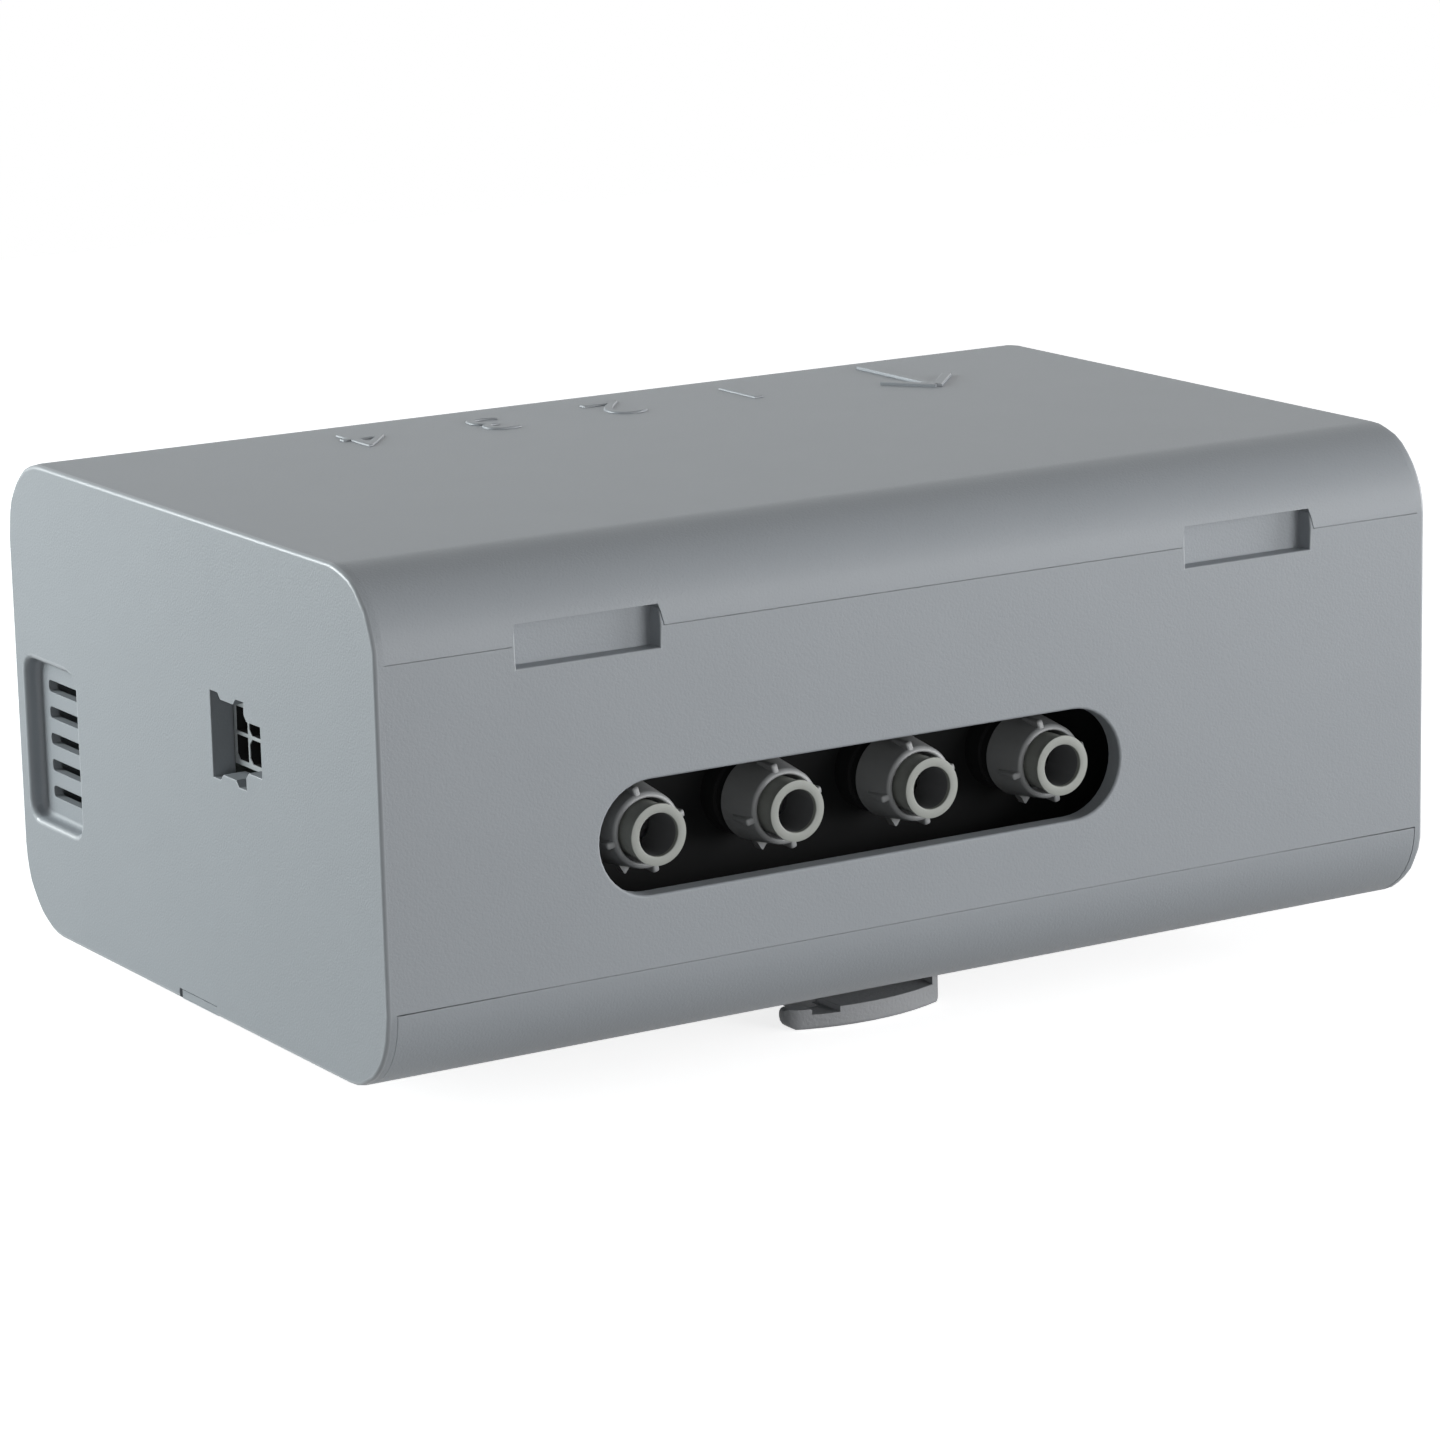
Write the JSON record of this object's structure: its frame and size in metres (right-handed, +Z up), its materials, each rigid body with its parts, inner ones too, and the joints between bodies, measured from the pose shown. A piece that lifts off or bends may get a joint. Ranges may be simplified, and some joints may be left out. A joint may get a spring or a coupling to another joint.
{
  "type": "rail-mounted air valve unit",
  "caption": "Moulded grey control box with push-in tube ports in a front slot, a plug header and vent in one end, a press-fitted cover and a sliding rail latch underneath.",
  "frame": {"origin": "on the plane that the rail clip rests on, under the middle of the housing", "axes": "+X along the housing with the plug end at -X, the ports face -Y, +Z up through the cover"},
  "size_m": [0.18, 0.12, 0.0814],
  "materials": {
    "housing_grey": "fine moulded grain",
    "fitting_grey": "smooth moulded",
    "collet_grey": "smooth moulded",
    "clip_grey": "glass-filled, coarse",
    "black_nylon": "smooth moulded",
    "header_nylon": "smooth moulded",
    "coil_resin": "cast resin",
    "seal_rubber": "matt",
    "hose_silicone": "satin",
    "steel": "zinc plated",
    "motor_can": "plated can",
    "pin_brass": "tinned",
    "board_green": "solder mask"
  },
  "bodies": {
    "housing": {"housing_body": "housing_grey", "top_cover": "housing_grey", "base_plate": "housing_grey", "port_1_fitting": "fitting_grey", "port_2_fitting": "fitting_grey", "port_3_fitting": "fitting_grey", "port_4_fitting": "fitting_grey", "port_1_grab_ring": "steel", "port_2_grab_ring": "steel", "port_3_grab_ring": "steel", "port_4_grab_ring": "steel", "port_1_seal": "seal_rubber", "port_2_seal": "seal_rubber", "port_3_seal": "seal_rubber", "port_4_seal": "seal_rubber", "manifold_block": "black_nylon", "manifold_screw_1": "steel", "manifold_screw_2": "steel", "valve_1_coil": "coil_resin", "valve_2_coil": "coil_resin", "valve_3_coil": "coil_resin", "valve_4_coil": "coil_resin", "pump_head": "black_nylon", "pump_motor": "motor_can", "pump_hose": "hose_silicone", "power_header": "header_nylon", "header_pin_1": "pin_brass", "header_pin_2": "pin_brass", "header_pin_3": "pin_brass", "header_pin_4": "pin_brass", "circuit_board": "board_green", "rail_clip_plate": "clip_grey", "clip_screw_1": "steel", "clip_screw_2": "steel"},
    "collet_1": {"port_1_collet": "collet_grey"},
    "collet_2": {"port_2_collet": "collet_grey"},
    "collet_3": {"port_3_collet": "collet_grey"},
    "collet_4": {"port_4_collet": "collet_grey"},
    "plunger_1": {"valve_1_plunger": "steel"},
    "plunger_2": {"valve_2_plunger": "steel"},
    "plunger_3": {"valve_3_plunger": "steel"},
    "plunger_4": {"valve_4_plunger": "steel"},
    "latch": {"rail_clip_latch": "clip_grey"}
  },
  "joints": [
    {"name": "port_1_release", "type": "slide", "parent": "housing", "child": "collet_1", "axis": [0, 1, 0], "range_m": [0, 0.001], "stiffness_N_per_m": 1500},
    {"name": "port_2_release", "type": "slide", "parent": "housing", "child": "collet_2", "axis": [0, 1, 0], "range_m": [0, 0.001], "stiffness_N_per_m": 1500},
    {"name": "port_3_release", "type": "slide", "parent": "housing", "child": "collet_3", "axis": [0, 1, 0], "range_m": [0, 0.001], "stiffness_N_per_m": 1500},
    {"name": "port_4_release", "type": "slide", "parent": "housing", "child": "collet_4", "axis": [0, 1, 0], "range_m": [0, 0.001], "stiffness_N_per_m": 1500},
    {"name": "valve_1_stroke", "type": "slide", "parent": "housing", "child": "plunger_1", "axis": [0, 1, 0], "range_m": [0, 0.001], "stiffness_N_per_m": 1500},
    {"name": "valve_2_stroke", "type": "slide", "parent": "housing", "child": "plunger_2", "axis": [0, 1, 0], "range_m": [0, 0.001], "stiffness_N_per_m": 1500},
    {"name": "valve_3_stroke", "type": "slide", "parent": "housing", "child": "plunger_3", "axis": [0, 1, 0], "range_m": [0, 0.001], "stiffness_N_per_m": 1500},
    {"name": "valve_4_stroke", "type": "slide", "parent": "housing", "child": "plunger_4", "axis": [0, 1, 0], "range_m": [0, 0.001], "stiffness_N_per_m": 1500},
    {"name": "rail_latch_pull", "type": "slide", "parent": "housing", "child": "latch", "axis": [0, -1, 0], "range_m": [0, 0.005], "stiffness_N_per_m": 2000}
  ]
}
